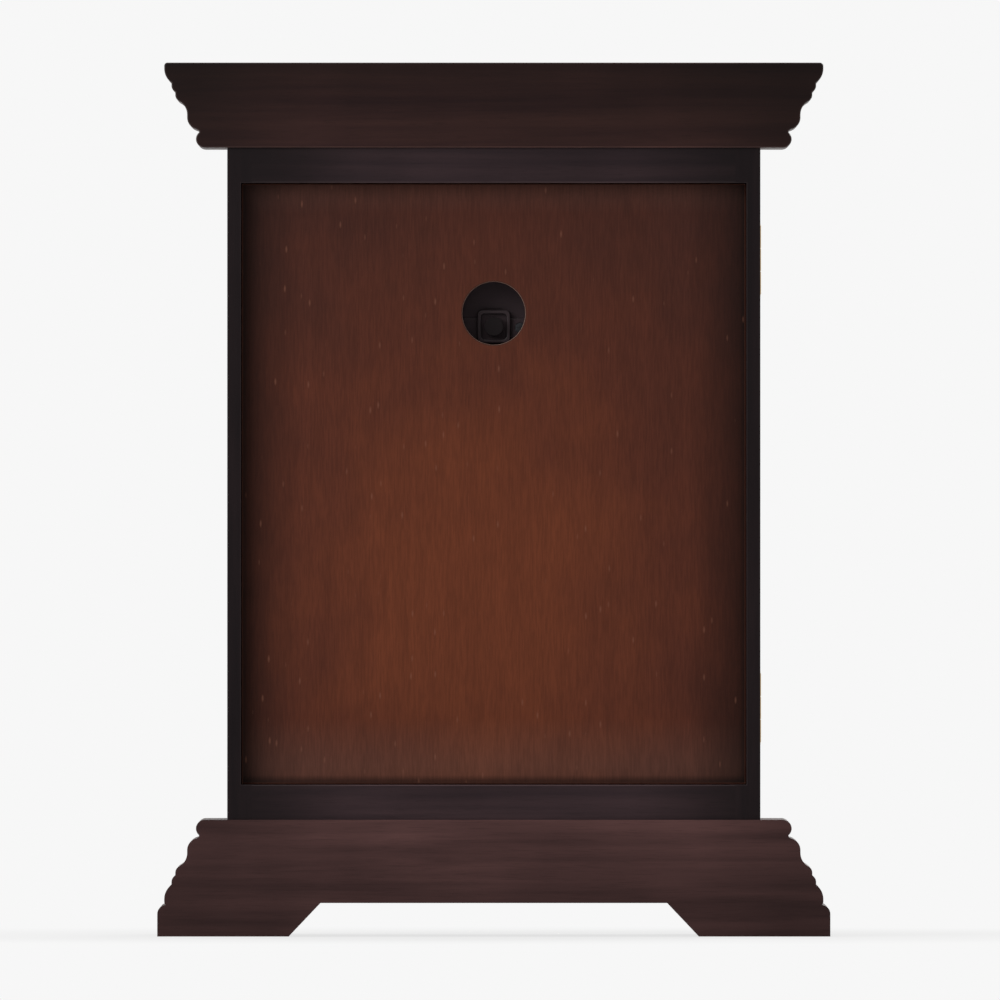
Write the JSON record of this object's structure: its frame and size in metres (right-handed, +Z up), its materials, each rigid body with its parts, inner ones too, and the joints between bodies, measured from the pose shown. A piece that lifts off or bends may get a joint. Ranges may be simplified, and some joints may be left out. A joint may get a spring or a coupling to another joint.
{
  "type": "pendulum mantel clock",
  "caption": "Dark stained wooden mantel clock with moulded crown and bracket-foot base, glazed front door, round dial, recessed plywood back with a finger hole, and swinging pendulum.",
  "frame": {"origin": "on the floor at the middle of the base's outline", "axes": "+Z up; the dial and door face -Y, the plywood back faces +Y"},
  "size_m": [0.2714, 0.1238, 0.3524],
  "materials": {
    "stained_wood": "dark mahogany stain under satin lacquer",
    "back_plywood": "stained plywood, matt",
    "bare_wood": "sawn softwood, unfinished",
    "window_glass": "clear sheet glass",
    "polished_brass": "polished and lacquered",
    "hinge_brass": "satin",
    "zinc_steel": "bright zinc",
    "black_plastic": "moulded, fine texture",
    "white_plastic": "moulded acetal",
    "dial_enamel": "satin cream paint",
    "hand_black": "black paint",
    "seal_rubber": "matt",
    "coil_copper": "enamelled copper wire",
    "circuit_green": "solder resist on glass fibre",
    "battery_jacket": "plain printed sleeve"
  },
  "bodies": {
    "case": {"left_side": "stained_wood", "right_side": "stained_wood", "case_top": "stained_wood", "case_bottom": "stained_wood", "back_panel": "back_plywood", "crown_front": "stained_wood", "crown_left": "stained_wood", "crown_right": "stained_wood", "crown_back": "stained_wood", "crown_panel": "stained_wood", "base_front": "stained_wood", "base_left": "stained_wood", "base_right": "stained_wood", "base_back": "stained_wood", "base_deck": "stained_wood", "base_glue_blocks": "bare_wood", "hinge_case_leaves": "hinge_brass", "hinge_pins": "hinge_brass", "catch_magnet": "zinc_steel", "dial_board": "stained_wood", "dial_cleats": "bare_wood", "dial_board_screws": "zinc_steel", "dial_plate": "dial_enamel", "dial_bezel": "polished_brass", "movement_case": "black_plastic", "movement_cover": "black_plastic", "movement_screws": "zinc_steel", "bearing_plate": "black_plastic", "fixing_neck": "hinge_brass", "fixing_nut": "hinge_brass", "fixing_washer": "hinge_brass", "rubber_gasket": "seal_rubber", "circuit_board": "circuit_green", "motor_stator": "zinc_steel", "motor_coil": "coil_copper", "battery": "battery_jacket", "battery_contacts": "zinc_steel", "pendulum_coil": "coil_copper", "swing_pin": "zinc_steel"},
    "door": {"door_hinge_stile": "stained_wood", "door_knob_stile": "stained_wood", "door_top_rail": "stained_wood", "door_bottom_rail": "stained_wood", "door_glass": "window_glass", "glazing_beads": "stained_wood", "door_knob": "polished_brass", "hinge_door_leaves": "hinge_brass", "strike_plate": "zinc_steel"},
    "minute_work": {"minute_hand": "hand_black", "hand_nut": "hinge_brass", "minute_arbor": "hinge_brass"},
    "hour_work": {"hour_hand": "hand_black", "hour_wheel": "white_plastic"},
    "setting_work": {"setting_arbor": "white_plastic", "setting_knob": "black_plastic"},
    "pendulum": {"swing_arm": "black_plastic", "swing_magnet": "zinc_steel", "pendulum_rod": "polished_brass", "pendulum_bob": "polished_brass", "bob_back": "polished_brass"}
  },
  "joints": [
    {"name": "door_hinge", "type": "hinge", "parent": "case", "child": "door", "pos_m": [-0.1062, -0.01815, 0.18253], "axis": [0, 0, -1], "range_deg": [0, 110]},
    {"name": "minute_hand_turn", "type": "hinge", "parent": "case", "child": "minute_work", "pos_m": [0, -0.00965, 0.23663], "axis": [0, 1, 0], "continuous": true},
    {"name": "hour_hand_turn", "type": "hinge", "parent": "case", "child": "hour_work", "pos_m": [0, -0.00785, 0.23663], "axis": [0, 1, 0], "continuous": true},
    {"name": "setting_knob_turn", "type": "hinge", "parent": "case", "child": "setting_work", "pos_m": [0, 0.038, 0.24603], "axis": [0, 1, 0], "continuous": true},
    {"name": "pendulum_swing", "type": "hinge", "parent": "case", "child": "pendulum", "pos_m": [0, 0.01935, 0.20048], "axis": [0, 1, 0], "range_deg": [-6, 6]}
  ],
  "couplings": [
    {"joint": "hour_hand_turn", "follows": "minute_hand_turn", "ratio": 0.083333},
    {"joint": "setting_knob_turn", "follows": "minute_hand_turn", "ratio": -0.33333}
  ]
}
